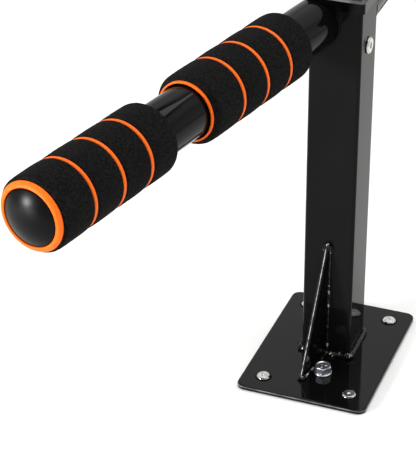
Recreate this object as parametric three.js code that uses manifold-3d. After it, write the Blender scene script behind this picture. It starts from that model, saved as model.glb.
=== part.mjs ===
// Pull-up bar for a ceiling or a wall: two posts on base plates carry a round bar between them,
// and a straight handle with two foam grips leaves each post on its outer side.
// Millimetres, +Z up. The object stands on the mounting faces of its two base plates (z = 0),
// its posts rise to the bar, and the bar runs along Y.
import * as THREE from 'three';
import { mergeVertices } from 'three/addons/utils/BufferGeometryUtils.js';
import Module from 'manifold-3d';

const wasm = await Module();
wasm.setup();

// ---------------------------------------------------------------- driving dimensions

const gap = 0.3;                    // clearance kept between pieces that touch

const postSpacing = 610;            // centre to centre, a common joist spacing
const barHeight = 289;              // axis of the bar and handles above the mounting face
const barDiameter = 38;
const barWall = 2;

const plateWidth = 105;             // across the bar
const plateLength = 145;            // along the bar
const plateThickness = 4;
const plateCorner = 7;
const plateOverhang = 13;           // plate centre lies this far outward of the post centre
const screwInset = 17.5;            // mounting screws from the plate's edges

const postSide = 40;
const postWall = 2;
const postCorner = 3;
const postAboveBar = 13.2;          // end of the post tube above the bar's axis

const capProud = 2;                 // end cap's lip beyond the post on every side
const capHeight = 9;
const capChamfer = 1.2;
const capRim = 2.2;                 // width of the raised rim on top
const capDish = 1.2;                // depth of the panel inside the rim
const capPlugDepth = 14;
const capPlugWall = 2;

const gussetHeight = 100;
const gussetReach = 41;
const gussetThickness = 3;
const gussetNose = 3;               // blunt ends of the two sharp corners
const gussetTurn = THREE.MathUtils.degToRad(9);   // turned aside to clear the hex bolt

const mountScrew = { shank: 6, head: 10.8, rise: 1.6, socket: 2.6, socketDepth: 0.6 };
const hexBolt = { shank: 8, flats: 12, rise: 5.3, washer: 14.4, washerThickness: 1.4 };
const hexBoltAside = 6.7;           // hex bolt's place from the post's centre plane
const hexBoltOut = 26.5;            // and from the post's outer face
const crossBolt = { shank: 8, head: 13, rise: 2.2, socket: 4.4, socketDepth: 1.2 };
const crossNut = { flats: 13, thickness: 6.5 };
const crossBoltTail = 2.5;          // thread showing past the nut
const crossBoltDrop = 18.5;         // below the bar's axis
const crossBoltOut = 2;             // outward of the post's centre

const handleAngle = THREE.MathUtils.degToRad(12.7);
const handleAside = 16;             // handle's axis from the post's centre plane, at the outer face
const handleBare = 42;              // bare tube between the post and the first grip
const handleWrap = 8;               // how far the coped end runs back beside the post
const handleEndWall = 2;

const foamWall = 7;
const gripLength = 118;
const gripGap = 48;
const segmentCount = 4;             // foam segments in one grip
const ringWidth = 3;
const ringSunk = 0.8;               // a ring lies this far under the foam round it
const grooveDepth = 3;
const foamRound = 1.4;              // rounding at a segment's edges
const foamShoulder = 4;             // rounding at a sleeve's open ends
const foamEndRound = 2;             // rounding behind the dome's band
const outerTail = 0.8;              // foam beyond the last full segment, outer grip
const innerTail = 3;                // and inner grip
const endRing = { width: 1.6, slack: 0.4, sunk: 2.1, proud: 2 };
const collarRing = { width: 2.2, slack: 1.2, wall: 1.5 };
const dome = { overhang: 0.5, height: 6, plug: 24, plugSlack: 0.4 };

const roundSides = 28;              // facets on tubes
const foamSides = 20;               // facets on grips and rings
const smallSides = 12;              // facets on fasteners
const cornerSides = 3;              // facets on a rounded corner
const domeSides = 4;                // facets from the dome's rim to its crown
const softness = 0.3;               // where a rounding's middle lies between its corner and its ends

// ---------------------------------------------------------------- derived places

const postTop = barHeight + postAboveBar;
const postHalf = postSide / 2;
const plateTop = plateThickness;
const outerFace = -postHalf;        // the outer side of a post looks along -Y in the end's own frame
const segmentLength = gripLength / segmentCount;
const foamInnerRadius = circumscribed(barDiameter / 2 + gap, foamSides);
const foamRadius = barDiameter / 2 + foamWall;
const domeRadius = barDiameter / 2 + dome.overhang;
const handleReach = handleBare + 2 * gripLength + gripGap;   // from the post's outer face to the end

// ---------------------------------------------------------------- materials

const finish = (color, roughness, metalness) => ({ color, roughness, metalness });
const blackPaint = finish(0x0b0b0c, 0.16, 0.1);
const blackPlastic = finish(0x101012, 0.3, 0);
const blackFoam = finish(0x1a1a1b, 0.95, 0);
const orangeFoam = finish(0xf2611c, 0.7, 0);
const zinc = finish(0xc3c9cf, 0.32, 0.95);

// ---------------------------------------------------------------- solid helpers

// Radius of a polygon with this many sides that stays outside a circle of the given radius.
function circumscribed(radius, sides) {
  return radius / Math.cos(Math.PI / sides);
}

function toSolid(geometry) {
  const bare = geometry.clone();
  bare.deleteAttribute('normal');
  bare.deleteAttribute('uv');
  const merged = mergeVertices(bare, 1e-4);
  const vertProperties = new Float32Array(merged.attributes.position.array);
  const triVerts = new Uint32Array(merged.index.array);
  return new wasm.Manifold(new wasm.Mesh({ numProp: 3, vertProperties, triVerts }));
}

function toGeometry(solid) {
  const mesh = solid.getMesh();
  const geometry = new THREE.BufferGeometry();
  geometry.setAttribute('position', new THREE.BufferAttribute(new Float32Array(mesh.vertProperties), 3));
  geometry.setIndex(new THREE.BufferAttribute(new Uint32Array(mesh.triVerts), 1));
  geometry.computeVertexNormals();
  return geometry;
}

function cut(geometry, ...tools) {
  return toGeometry(tools.reduce((solid, tool) => solid.subtract(toSolid(tool)), toSolid(geometry)));
}

function join(geometry, ...others) {
  return toGeometry(others.reduce((solid, other) => solid.add(toSolid(other)), toSolid(geometry)));
}

function common(geometry, other) {
  return toGeometry(toSolid(geometry).intersect(toSolid(other)));
}

// The same solid seen in a mirror that lies in the XZ plane, with its faces still looking out.
function mirrored(geometry) {
  const copy = geometry.clone().scale(1, -1, 1);
  const index = copy.index ?? new THREE.BufferAttribute(
    Uint32Array.from({ length: copy.attributes.position.count }, (_, i) => i), 1);
  const flipped = new Uint32Array(index.array);
  for (let i = 0; i < flipped.length; i += 3) {
    [flipped[i], flipped[i + 1]] = [flipped[i + 1], flipped[i]];
  }
  copy.setIndex(new THREE.BufferAttribute(flipped, 1));
  copy.computeVertexNormals();
  return copy;
}

// ---------------------------------------------------------------- shape helpers

function roundedRectangle(width, length, corner) {
  const [x, y] = [width / 2, length / 2];
  const shape = new THREE.Shape();
  shape.absarc(x - corner, y - corner, corner, 0, Math.PI / 2);
  shape.absarc(-x + corner, y - corner, corner, Math.PI / 2, Math.PI);
  shape.absarc(-x + corner, -y + corner, corner, Math.PI, 1.5 * Math.PI);
  shape.absarc(x - corner, -y + corner, corner, 1.5 * Math.PI, 2 * Math.PI);
  return shape;
}

function roundHole(x, y, radius) {
  return new THREE.Path().absarc(x, y, radius, 0, 2 * Math.PI, true);
}

function slab(shape, bottom, top) {
  const options = { depth: top - bottom, bevelEnabled: false, curveSegments: cornerSides };
  return new THREE.ExtrudeGeometry(shape, options).translate(0, 0, bottom);
}

function block(xSize, ySize, bottom, top) {
  return new THREE.BoxGeometry(xSize, ySize, top - bottom).translate(0, 0, (bottom + top) / 2);
}

// A solid of revolution about Z. Points are [radius, height], going round with the axis on the left.
function turned(points, sides) {
  return new THREE.LatheGeometry(points.map(([r, z]) => new THREE.Vector2(r, z)), sides)
    .rotateX(Math.PI / 2);
}

function ringOf(inner, outer, bottom, top, sides) {
  const profile = [[inner, bottom], [outer, bottom], [outer, top], [inner, top], [inner, bottom]];
  return turned(profile, sides);
}

function hexPrism(flats, bottom, top) {
  const radius = circumscribed(flats / 2, 6);
  return new THREE.CylinderGeometry(radius, radius, top - bottom, 6)
    .rotateX(Math.PI / 2).translate(0, 0, (bottom + top) / 2);
}

// ---------------------------------------------------------------- base: plate, post, cap, gusset

const plateCentreY = -plateOverhang;
const screwX = plateWidth / 2 - screwInset;
const screwY = plateLength / 2 - screwInset;
const screwPlaces = [[-1, -1], [1, -1], [1, 1], [-1, 1]]
  .map(([sx, sy]) => [sx * screwX, plateCentreY + sy * screwY]);
const hexBoltPlace = [hexBoltAside, outerFace - hexBoltOut];

function basePlate() {
  const outline = roundedRectangle(plateWidth, plateLength, plateCorner);
  const holes = [
    ...screwPlaces.map(([x, y]) => [x, y, mountScrew.shank]),
    [...hexBoltPlace, hexBolt.shank],
  ];
  for (const [x, y, shank] of holes) {
    outline.holes.push(roundHole(x, y - plateCentreY, circumscribed(shank / 2 + gap, 2 * cornerSides)));
  }
  return slab(outline, 0, plateTop).translate(0, plateCentreY, 0);
}

function post() {
  const outline = roundedRectangle(postSide, postSide, postCorner);
  const inside = postSide - 2 * postWall;
  outline.holes.push(roundedRectangle(inside, inside, postCorner - postWall / 2));
  const radius = circumscribed(crossBolt.shank / 2 + gap, smallSides);
  const drill = new THREE.CylinderGeometry(radius, radius, postSide + 10, smallSides)
    .rotateZ(Math.PI / 2)
    .translate(0, -crossBoltOut, barHeight - crossBoltDrop);
  return cut(slab(outline, plateTop + gap, postTop), drill);
}

const capBottom = postTop + gap;
const capTop = capBottom + capHeight;
const capSide = postSide + 2 * capProud;

function postCap() {
  const corner = postCorner + capProud;
  const lip = slab(roundedRectangle(capSide, capSide, corner), capBottom, capTop - capChamfer);
  const crownSide = capSide - 2 * capChamfer;
  const crownOptions = {
    depth: 1, bevelSize: capChamfer, bevelThickness: capChamfer, bevelSegments: 1,
    curveSegments: cornerSides,
  };
  const crown = new THREE.ExtrudeGeometry(
    roundedRectangle(crownSide, crownSide, corner - capChamfer), crownOptions,
  ).translate(0, 0, capTop - crownOptions.depth - capChamfer);
  const panel = capSide - 2 * (capChamfer + capRim);
  const dish = slab(roundedRectangle(panel, panel, corner / 2), capTop - capDish, capTop + 5);
  const plugSide = postSide - 2 * postWall - 2 * gap;
  const plugHollow = plugSide - 2 * capPlugWall;
  const plug = roundedRectangle(plugSide, plugSide, postCorner - postWall / 2);
  plug.holes.push(roundedRectangle(plugHollow, plugHollow, 0.5));
  const stem = slab(plug, capBottom - capPlugDepth, capBottom + capHeight / 2);
  return cut(join(lip, crown, stem), dish);
}

// What a bar coming to the post must stay clear of: the post and its cap.
function postKeepOut() {
  const side = postSide + 2 * gap;
  const lipSide = capSide + 2 * gap;
  return [block(side, side, 0, capTop + 20), block(lipSide, lipSide, capBottom - gap, capTop + 20)];
}

function gusset() {
  const inside = 6;                 // runs into the post before it is trimmed to the face
  const outline = new THREE.Shape([
    new THREE.Vector2(-inside, 0),
    new THREE.Vector2(gussetReach, 0),
    new THREE.Vector2(gussetReach, gussetNose),
    new THREE.Vector2(gussetNose, gussetHeight),
    new THREE.Vector2(-inside, gussetHeight),
  ]);
  const plate = new THREE.ExtrudeGeometry(outline, { depth: gussetThickness, bevelEnabled: false })
    .translate(0, 0, -gussetThickness / 2)
    .rotateX(Math.PI / 2)
    .rotateZ(-Math.PI / 2 - gussetTurn)
    .translate(0, outerFace, plateTop + gap);
  return cut(plate, postKeepOut()[0]);
}

// ---------------------------------------------------------------- fasteners

// A flat round head with a bevelled rim and a socket, standing on z = 0 with its shank below.
function buttonScrew(size, shankLength) {
  const [shank, head, socket] = [size.shank / 2, size.head / 2, size.socket / 2];
  const floor = size.rise - size.socketDepth;
  return turned([
    [0, -shankLength], [shank, -shankLength], [shank, 0], [head, 0], [head, size.rise * 0.35],
    [head * 0.82, size.rise], [socket, size.rise], [socket, floor], [0, floor - 0.4],
  ], smallSides);
}

function hexHeadBolt(size, shankLength) {
  const cornerRadius = circumscribed(size.flats / 2, 6);
  const chamfer = turned([
    [0, -1], [cornerRadius + 1, -1], [cornerRadius + 1, size.rise * 0.72],
    [size.flats * 0.44, size.rise], [0, size.rise],
  ], smallSides * 2);
  const head = common(hexPrism(size.flats, 0, size.rise), chamfer);
  const radius = size.shank / 2;
  const overlap = size.rise / 2;
  const shank = turned([
    [0, -shankLength], [radius, -shankLength], [radius, overlap], [0, overlap],
  ], smallSides);
  return join(head, shank);
}

function hexNut(size, bore) {
  const hole = turned([[0, -1], [bore, -1], [bore, size.thickness + 1], [0, size.thickness + 1]], smallSides);
  return cut(hexPrism(size.flats, 0, size.thickness), hole);
}

const washerTop = plateTop + gap + hexBolt.washerThickness;
const crossHeadSeat = postHalf + gap;
const crossNutSeat = -postHalf - gap;

function crossBoltSolid() {
  const shankLength = crossHeadSeat - crossNutSeat + crossNut.thickness + crossBoltTail;
  return buttonScrew(crossBolt, shankLength)
    .rotateY(Math.PI / 2)
    .translate(crossHeadSeat, -crossBoltOut, barHeight - crossBoltDrop);
}

function crossNutSolid() {
  return hexNut(crossNut, circumscribed(crossBolt.shank / 2 + gap, smallSides))
    .rotateY(-Math.PI / 2)
    .translate(crossNutSeat, -crossBoltOut, barHeight - crossBoltDrop);
}

// ---------------------------------------------------------------- handle and its grips

// Handle pieces are turned about Z with their height along the handle, then laid on its axis.
function onHandle(geometry) {
  return geometry
    .rotateX(Math.PI / 2)
    .rotateZ(-handleAngle)
    .translate(-handleAside, outerFace, barHeight);
}

function handleTube() {
  const inward = 60;                // long enough to be trimmed square with the post
  const radius = barDiameter / 2;
  const far = postSide * 4;
  const body = turned([[0, -inward], [radius, -inward], [radius, handleReach], [0, handleReach]], roundSides);
  const bore = turned([
    [0, -inward - 5], [radius - barWall, -inward - 5],
    [radius - barWall, handleReach + 5], [0, handleReach + 5],
  ], roundSides);
  const behind = (y) => new THREE.BoxGeometry(far, far, far).translate(0, y + far / 2, barHeight);
  const wrapEnd = outerFace + handleWrap;
  const hollow = cut(onHandle(bore), behind(wrapEnd - handleEndWall));
  return cut(onHandle(body), behind(wrapEnd), hollow, ...postKeepOut());
}

// One foam sleeve: rounded segments with a groove for a coloured ring between each two.
function foamSleeve(start, tail, endRound) {
  const outer = foamRadius;
  const floor = outer - grooveDepth;
  const half = ringWidth / 2 + gap;
  const points = [[foamInnerRadius, 0]];
  for (let i = 0; i < segmentCount; i += 1) {
    const from = i * segmentLength + (i > 0 ? half : 0);
    const to = (i + 1) * segmentLength + (i < segmentCount - 1 ? -half : tail);
    const first = i === 0 ? foamShoulder : foamRound;
    const last = i === segmentCount - 1 ? endRound : foamRound;
    if (i > 0) points.push([floor, from]);
    points.push([outer - first, from], [outer - first * softness, from + first * softness]);
    points.push([outer, from + first], [outer, to - last]);
    points.push([outer - last * softness, to - last * softness], [outer - last, to]);
    if (i < segmentCount - 1) points.push([floor, to]);
  }
  points.push([foamInnerRadius, gripLength + tail], [foamInnerRadius, 0]);
  return onHandle(turned(points, foamSides).translate(0, 0, start));
}

function grooveRing(middle) {
  const inner = circumscribed(foamRadius - grooveDepth + gap, foamSides);
  const from = middle - ringWidth / 2;
  return onHandle(ringOf(inner, foamRadius - ringSunk, from, from + ringWidth, foamSides));
}

// The coloured band round the dome at the handle's end: a flat ring crowned towards its bore.
function crownedRing(start) {
  const { width } = endRing;
  const inner = domeRadius + endRing.slack;
  const outer = foamRadius - endRing.sunk;
  const middle = (inner + outer) / 2;
  const points = [
    [inner, 0], [outer, 0], [outer, width - 1], [middle, width + endRing.proud * 0.7],
    [inner, width + endRing.proud], [inner, 0],
  ];
  return onHandle(turned(points, foamSides).translate(0, 0, start));
}

// The coloured collar that stands out of the inner grip, loose round the tube.
function looseCollar(start) {
  const inner = barDiameter / 2 + collarRing.slack;
  const { width, wall } = collarRing;
  return onHandle(ringOf(inner, inner + wall, start, start + width, foamSides));
}

function domeCap() {
  const seat = handleReach + gap;
  const rim = seat + outerTail + endRing.width + endRing.proud - 0.6;
  const plugRadius = barDiameter / 2 - barWall - dome.plugSlack;
  const ball = (domeRadius ** 2 + dome.height ** 2) / (2 * dome.height);
  const opening = Math.asin(domeRadius / ball);
  const points = [
    [0, seat - dome.plug], [plugRadius, seat - dome.plug], [plugRadius, seat], [domeRadius, seat],
  ];
  for (let i = 0; i < domeSides; i += 1) {
    const angle = opening * (1 - i / domeSides);
    points.push([ball * Math.sin(angle), rim + dome.height - ball * (1 - Math.cos(angle))]);
  }
  points.push([0, rim + dome.height]);
  return onHandle(turned(points, foamSides));
}

// ---------------------------------------------------------------- assembly

const model = new THREE.Group();

function addMesh(name, geometry, look) {
  const material = new THREE.MeshStandardMaterial(look);
  const mesh = new THREE.Mesh(geometry, material);
  mesh.name = name;
  model.add(mesh);
  return mesh;
}

// The pieces of one end, in a frame whose Z axis is the post's centre line and whose -Y looks outward.
function endPieces() {
  const pieces = [
    ['base_plate', basePlate(), blackPaint],
    ['post', post(), blackPaint],
    ['post_cap', postCap(), blackPlastic],
    ['gusset', gusset(), blackPaint],
    ['cross_bolt', crossBoltSolid(), zinc],
    ['cross_nut', crossNutSolid(), zinc],
  ];
  screwPlaces.forEach(([x, y], i) => {
    const screw = buttonScrew(mountScrew, plateThickness).translate(x, y, plateTop + gap);
    pieces.push([`mount_screw_${i + 1}`, screw, zinc]);
  });
  const [hx, hy] = hexBoltPlace;
  const washerBore = circumscribed(hexBolt.shank / 2 + gap, smallSides);
  const washer = ringOf(washerBore, hexBolt.washer / 2, plateTop + gap, washerTop, smallSides);
  const bolt = hexHeadBolt(hexBolt, washerTop);
  pieces.push(['hex_washer', washer.translate(hx, hy, 0), zinc]);
  pieces.push(['hex_bolt', bolt.translate(hx, hy, washerTop + gap), zinc]);

  pieces.push(['handle_tube', handleTube(), blackPaint]);
  pieces.push(['dome_cap', domeCap(), blackPlastic]);
  const outerStart = handleReach - gripLength;
  const grips = [
    ['outer_grip', outerStart, outerTail, foamEndRound, crownedRing],
    ['inner_grip', outerStart - gripGap - gripLength, innerTail, foamShoulder, looseCollar],
  ];
  for (const [grip, start, tail, endRound, endPiece] of grips) {
    pieces.push([`${grip}_foam`, foamSleeve(start, tail, endRound), blackFoam]);
    for (let i = 1; i < segmentCount; i += 1) {
      pieces.push([`${grip}_ring_${i}`, grooveRing(start + i * segmentLength), orangeFoam]);
    }
    pieces.push([`${grip}_end_ring`, endPiece(start + gripLength + tail + gap), orangeFoam]);
  }
  return pieces;
}

function crossbar() {
  const length = postSpacing - postSide - 2 * gap;
  const radius = barDiameter / 2;
  const tube = ringOf(radius - barWall, radius, -length / 2, length / 2, roundSides)
    .rotateX(Math.PI / 2)
    .translate(0, 0, barHeight);
  const lips = [-1, 1].map((side) => postKeepOut()[1].translate(0, side * postSpacing / 2, 0));
  return cut(tube, ...lips);
}

for (const [name, geometry, look] of endPieces()) {
  addMesh(`left_${name}`, geometry, look).position.y = -postSpacing / 2;
  addMesh(`right_${name}`, mirrored(geometry), look).position.y = postSpacing / 2;
}
addMesh('crossbar', crossbar(), blackPaint);

// The origin lies on the mounting plane, under the middle of the whole object.
const middle = new THREE.Box3().setFromObject(model, true).getCenter(new THREE.Vector3());
model.position.x = -middle.x;

export default model;
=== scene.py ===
"""Pull-up bar: two bolted posts, a round bar between them and two foam-gripped handles.

Every piece is worked out in millimetres in the frame of one end, whose Z axis is the post's
centre line and whose -Y looks outward, and is then laid on the left or the right end.
"""
import math

import bmesh
import bpy
from mathutils import Matrix, Vector, noise


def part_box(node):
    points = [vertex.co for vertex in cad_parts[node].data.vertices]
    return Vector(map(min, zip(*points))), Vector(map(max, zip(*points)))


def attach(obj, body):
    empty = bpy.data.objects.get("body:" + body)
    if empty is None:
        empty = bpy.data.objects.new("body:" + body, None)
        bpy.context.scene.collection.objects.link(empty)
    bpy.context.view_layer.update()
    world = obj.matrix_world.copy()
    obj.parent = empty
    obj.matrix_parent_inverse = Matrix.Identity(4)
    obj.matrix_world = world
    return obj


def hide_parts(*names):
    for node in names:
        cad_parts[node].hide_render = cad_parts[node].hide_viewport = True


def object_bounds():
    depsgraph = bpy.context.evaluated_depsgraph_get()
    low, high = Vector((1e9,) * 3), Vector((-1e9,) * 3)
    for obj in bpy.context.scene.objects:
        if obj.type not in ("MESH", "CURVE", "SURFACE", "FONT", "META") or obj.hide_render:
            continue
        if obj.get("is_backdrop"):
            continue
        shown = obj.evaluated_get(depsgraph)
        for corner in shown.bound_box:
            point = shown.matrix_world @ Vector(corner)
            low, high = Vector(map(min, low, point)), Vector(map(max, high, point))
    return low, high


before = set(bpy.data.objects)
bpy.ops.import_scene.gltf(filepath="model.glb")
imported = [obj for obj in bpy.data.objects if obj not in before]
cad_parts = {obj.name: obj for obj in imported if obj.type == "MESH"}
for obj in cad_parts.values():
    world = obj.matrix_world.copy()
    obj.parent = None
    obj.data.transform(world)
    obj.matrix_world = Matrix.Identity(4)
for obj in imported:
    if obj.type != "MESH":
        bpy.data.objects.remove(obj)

CAD_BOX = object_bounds()
MM = 0.001
BODY = "root"

# ------------------------------------------------------------------ places and sizes, mm

POST_LOW, POST_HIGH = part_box("left_post")
POST_X = (POST_LOW.x + POST_HIGH.x) / 2
POST_Y = (POST_LOW.y + POST_HIGH.y) / 2
ENDS = {"left": -1, "right": 1}

PLATE = {"width": 105.0, "length": 145.0, "top": 4.0, "corner": 7.0, "out": -13.0, "edge": 1.2}
SCREW_X = 35.0
SCREW_Y = 55.0
HEX_BOLT_AT = (6.7, -46.5)
HEX_HOLE_RADIUS = 4.3
POST = {"side": 40.0, "wall": 2.0, "corner": 3.0, "bottom": 4.3, "top": 302.2}
CAP = {"bottom": 302.5, "top": 311.5, "half": 22.0, "corner": 3.2, "plug": 14.0, "dish": 1.2}
BAR_Z = 289.0
BAR_RADIUS = 19.0
CROSS_BOLT_AT = (-2.0, 270.5)
HANDLE_ANGLE = math.radians(12.7)
HANDLE_ASIDE = 16.0
HANDLE_REACH = 326.0
GRIP_LENGTH = 118.0
GRIP_STARTS = {"outer": 208.0, "inner": 42.0}
GRIP_TAILS = {"outer": 0.8, "inner": 3.0}
FOAM_RADIUS = 26.0
BORE_RADIUS = 19.3
SEGMENTS = 4
RING_WIDTH = 3.0
GAP = 0.3
TUBE_SIDES = 128
BOLT_SIDES = 72

# ------------------------------------------------------------------ node graphs


class Wire:
    """A node's output. Arithmetic on it adds Math nodes to its graph."""

    def __init__(self, graph, socket):
        self.graph = graph
        self.socket = socket

    def _math(self, operation, *terms):
        return self.graph.node("ShaderNodeMath", {"operation": operation}, dict(enumerate(terms)))

    def __add__(self, other):
        return self._math("ADD", self, other)

    __radd__ = __add__

    def __sub__(self, other):
        return self._math("SUBTRACT", self, other)

    def __rsub__(self, other):
        return self._math("SUBTRACT", other, self)

    def __mul__(self, other):
        return self._math("MULTIPLY", self, other)

    def __truediv__(self, other):
        return self._math("DIVIDE", self, other)

    def sine(self):
        return self._math("SINE", self)

    def size(self):
        return self._math("ABSOLUTE", self)

    def between(self, low, high):
        """0 below low, 1 above high, and smooth on the way."""
        sockets = {"Value": self, "From Min": low, "From Max": high}
        return self.graph.node("ShaderNodeMapRange", {"interpolation_type": "SMOOTHSTEP"}, sockets)


class Graph:
    """A node tree that is filled by one method."""

    def __init__(self, tree):
        self.tree = tree

    def node(self, kind, settings=None, sockets=None, output=0):
        """Adds a node: its settings first, then a value or a wire for each named socket."""
        made = self.tree.nodes.new(kind)
        for name, value in (settings or {}).items():
            if name == "stops":
                ramp = made.color_ramp.elements
                while len(ramp) < len(value):
                    ramp.new(0.5)
                for element, (place, colour) in zip(ramp, value):
                    element.position = place
                    element.color = colour
            else:
                setattr(made, name, value)
        for name, value in (sockets or {}).items():
            if isinstance(value, Wire):
                self.tree.links.new(value.socket, made.inputs[name])
            else:
                made.inputs[name].default_value = value
        return Wire(self, made.outputs[output]) if made.outputs else made


# ------------------------------------------------------------------ finishes


# Light greys painted on as highlights: the rim lines of the plate and the cap, and the rib's edge line
# and the weld spots.
RIM_HIGHLIGHT_ON_PAINT = (0.21, 0.21, 0.215, 1.0)
RIM_HIGHLIGHT_ON_PLASTIC = (0.16, 0.16, 0.165, 1.0)
PAINTED_HIGHLIGHT_GREY = (0.50, 0.50, 0.51, 1.0)


def grey(value):
    return (value, value, value, 1.0)


def new_material(name):
    material = bpy.data.materials.new(name)
    material.use_nodes = True
    material.node_tree.nodes.clear()
    return material, Graph(material.node_tree)


def finish_with(graph, sockets):
    """The last two nodes of every finish."""
    shader = graph.node("ShaderNodeBsdfPrincipled", None, sockets)
    graph.node("ShaderNodeOutputMaterial", None, {"Surface": shader})


def place_on(graph, stretch=(1.0, 1.0, 1.0)):
    """Where a point lies on the object, in metres."""
    here = graph.node("ShaderNodeTexCoord", None, None, "Object")
    if stretch == (1.0, 1.0, 1.0):
        return here
    return graph.node("ShaderNodeMapping", None, {"Vector": here, "Scale": stretch})


def noise_on(graph, here, scale, detail=2.0, roughness=0.5):
    sockets = {"Vector": here, "Scale": scale, "Detail": detail, "Roughness": roughness}
    return graph.node("ShaderNodeTexNoise", None, sockets, "Fac")


def cells_on(graph, here, scale):
    return graph.node("ShaderNodeTexVoronoi", None, {"Vector": here, "Scale": scale}, "Distance")


def mixed(graph, factor, first, second):
    sockets = {0: factor, 6: first, 7: second}
    return graph.node("ShaderNodeMix", {"data_type": "RGBA"}, sockets, 2)


def bumped(graph, height, strength, distance):
    sockets = {"Height": height, "Strength": strength, "Distance": distance}
    return graph.node("ShaderNodeBump", None, sockets, "Normal")


def painted_rim_highlight(graph, here, low, high):
    """1 on a thin level line round a rim, where a highlight is painted on; broken along its way."""
    height = graph.node("ShaderNodeSeparateXYZ", None, {"Vector": here}, "Z")
    worn = noise_on(graph, here, 70.0, 2.0).between(0.32, 0.62)
    fade = 0.0003
    line = height.between(low - fade, low) * (1 - height.between(high, high + fade))
    return line * (0.35 + worn * 0.65)


def painted_highlight_edge(graph, here):
    """1 along the rib's edge that the mesh marks for a painted highlight line; broken in places."""
    marked = graph.node("ShaderNodeAttribute", {"attribute_name": "worn"}, None, "Fac")
    breaks = noise_on(graph, here, 330.0, 2.0).between(0.36, 0.56)
    return marked.between(0.55, 0.95) * (0.25 + breaks * 0.75)


def painted_glints(graph, here):
    """1 on small spots painted light grey as glints on the weld beads, on the outer side of each post
    only.
    """
    outward = graph.node("ShaderNodeSeparateXYZ", None, {"Vector": here}, "Y").size()
    spots = noise_on(graph, here, 300.0, 1.0).between(0.585, 0.64)
    return spots * outward.between(0.3248, 0.3262)


def gloss_paint(name, index, ripple=0.0, pigment=0.0016, rim=None, bright=None):
    """Stoved black gloss: nearly black, a faint orange peel, a trace of dust in the film.

    rim is the low and high edge of a line painted lighter as a highlight; bright gives where more
    highlights are painted, in a light grey.
    """
    material, graph = new_material(name)
    here = place_on(graph)
    peel = noise_on(graph, here, 260.0, 2.0)
    film = noise_on(graph, here, 24.0, 3.0)
    dust = noise_on(graph, here, 2600.0, 1.0).between(0.70, 0.80)
    height = peel + dust * 0.12
    if ripple:
        height = height + noise_on(graph, here, 420.0, 2.0) * ripple
    colour = mixed(graph, dust * 0.5 + film * 0.3, grey(pigment), grey(pigment + 0.009))
    # The rim line is a painted highlight.
    if rim:
        colour = mixed(graph, painted_rim_highlight(graph, here, *rim), colour, RIM_HIGHLIGHT_ON_PAINT)
    # The bright spots and lines are painted highlights.
    if bright:
        colour = mixed(graph, bright(graph, here), colour, PAINTED_HIGHLIGHT_GREY)
    finish_with(graph, {
        "Base Color": colour,
        "Roughness": 0.04 + film * 0.05 + dust * 0.1,
        "IOR": index,
        "Normal": bumped(graph, height, 0.10 + ripple, 0.00006 + 0.0011 * ripple),
    })
    return material


def satin_plastic(name, colour, roughness, index, rim=None):
    """Injection-moulded plastic with a fine spark-eroded grain and faint flow marks."""
    material, graph = new_material(name)
    here = place_on(graph)
    grain = cells_on(graph, here, 2400.0)
    flow = noise_on(graph, place_on(graph, (1.0, 1.0, 3.0)), 30.0, 3.0)
    shade = mixed(graph, flow, grey(colour * 0.7), grey(colour * 1.4))
    # The rim line is a painted highlight.
    if rim:
        shade = mixed(graph, painted_rim_highlight(graph, here, *rim), shade, RIM_HIGHLIGHT_ON_PLASTIC)
    finish_with(graph, {
        "Base Color": shade,
        "Roughness": roughness + flow * 0.08 - grain * 0.05,
        "IOR": index,
        "Normal": bumped(graph, grain + flow * 0.5, 0.16, 0.00004),
    })
    return material


def black_foam(name):
    """Closed-cell sleeve foam: fine open pores on a skinless surface, matte all over."""
    material, graph = new_material(name)
    here = place_on(graph)
    cells = cells_on(graph, here, 640.0)
    pores = cells_on(graph, here, 1500.0)
    speckle = noise_on(graph, here, 900.0, 2.0, 0.7)
    patch = noise_on(graph, here, 45.0, 3.0)
    raised = cells.between(0.15, 0.75) * 0.6 + speckle.between(0.35, 0.7) * 0.4
    shade = raised * (0.65 + patch * 0.5)
    finish_with(graph, {
        "Base Color": mixed(graph, shade, (0.0012, 0.0011, 0.0011, 1.0), (0.0135, 0.0128, 0.0125, 1.0)),
        "Roughness": 0.88 + patch * 0.1,
        "Specular IOR Level": 0.06,
        "Normal": bumped(graph, raised + pores * 0.5, 0.9, 0.0004),
    })
    return material


def orange_foam(name):
    """The same foam dyed orange, with a closer skin."""
    material, graph = new_material(name)
    here = place_on(graph)
    cells = cells_on(graph, here, 1300.0)
    patch = noise_on(graph, here, 120.0, 3.0)
    shade = cells.between(0.1, 0.7) * 0.7 + patch * 0.3
    finish_with(graph, {
        "Base Color": mixed(graph, shade, (0.84, 0.10, 0.0012, 1.0), (1.0, 0.16, 0.003, 1.0)),
        "Roughness": 0.45 + patch * 0.15,
        "Specular IOR Level": 0.22,
        "Normal": bumped(graph, cells + patch, 0.3, 0.0001),
    })
    return material


def zinc_plating(name, light, dark, roughness, marking=0.22):
    """Bright zinc: bluish passivation in clouds, with hairline tool marks."""
    material, graph = new_material(name)
    cloud = noise_on(graph, place_on(graph), 210.0, 3.0)
    marks = noise_on(graph, place_on(graph, (1.0, 1.0, 9.0)), 1700.0, 2.0, 0.7)
    finish_with(graph, {
        "Base Color": mixed(graph, cloud.between(0.3, 0.75), light, dark),
        "Metallic": 1.0,
        "Roughness": roughness + cloud * 0.08 + marks * 0.06,
        "Normal": bumped(graph, marks, marking, 0.00003),
    })
    return material


# The rims of the plate and the cap, the rib's edge and the weld spots carry painted highlights.
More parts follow.
